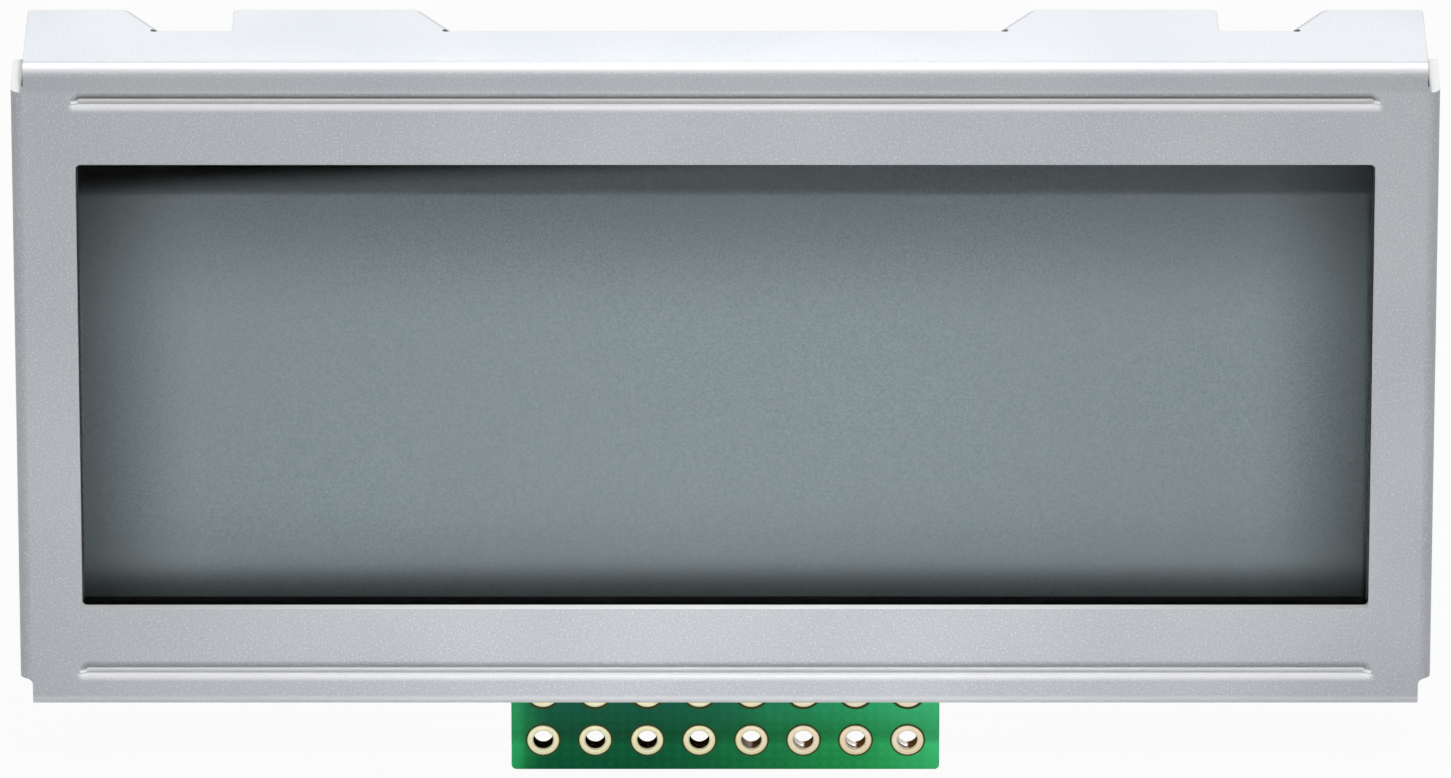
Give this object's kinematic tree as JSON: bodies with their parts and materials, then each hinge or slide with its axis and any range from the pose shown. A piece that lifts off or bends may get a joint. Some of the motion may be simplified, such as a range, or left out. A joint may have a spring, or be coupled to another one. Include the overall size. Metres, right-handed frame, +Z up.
{
  "type": "graphic display module",
  "caption": "Flat reflective display module: a folded metal bezel with a wide window clamps a glass cell to its circuit board, with a tongue of plated header holes.",
  "frame": {"origin": "centre of the window, on the plane of the bezel's front face", "axes": "+X to the right seen from the front, +Y from the front face to the rear, +Z up, with the tongue below"},
  "size_m": [0.0684, 0.0072, 0.0387],
  "materials": {
    "bezel": "fine satin plating",
    "polariser": "smooth film",
    "glass": "polished",
    "reflector": "matt silver-grey",
    "seal": "cured black resin",
    "strip": "matt",
    "holder": "moulded",
    "gold": "thin bright plating",
    "board": "solder mask",
    "resin": "cured resin",
    "resistor": "glazed top",
    "capacitor": "matt",
    "tin": "tinned"
  },
  "bodies": {
    "root": {"bezel": "bezel", "front_polariser": "polariser", "front_glass": "glass", "cell_seal": "seal", "fill_port_plug": "seal", "rear_glass": "glass", "rear_polariser": "reflector", "upper_contact_strip": "strip", "lower_contact_strip": "strip", "strip_holder": "holder", "contact_fingers": "gold", "board": "board", "header_rings": "gold", "driver_drops": "resin", "chip_resistors": "resistor", "chip_capacitors": "capacitor", "chip_end_caps": "tin", "solder_fillets": "tin"}
  },
  "joints": []
}
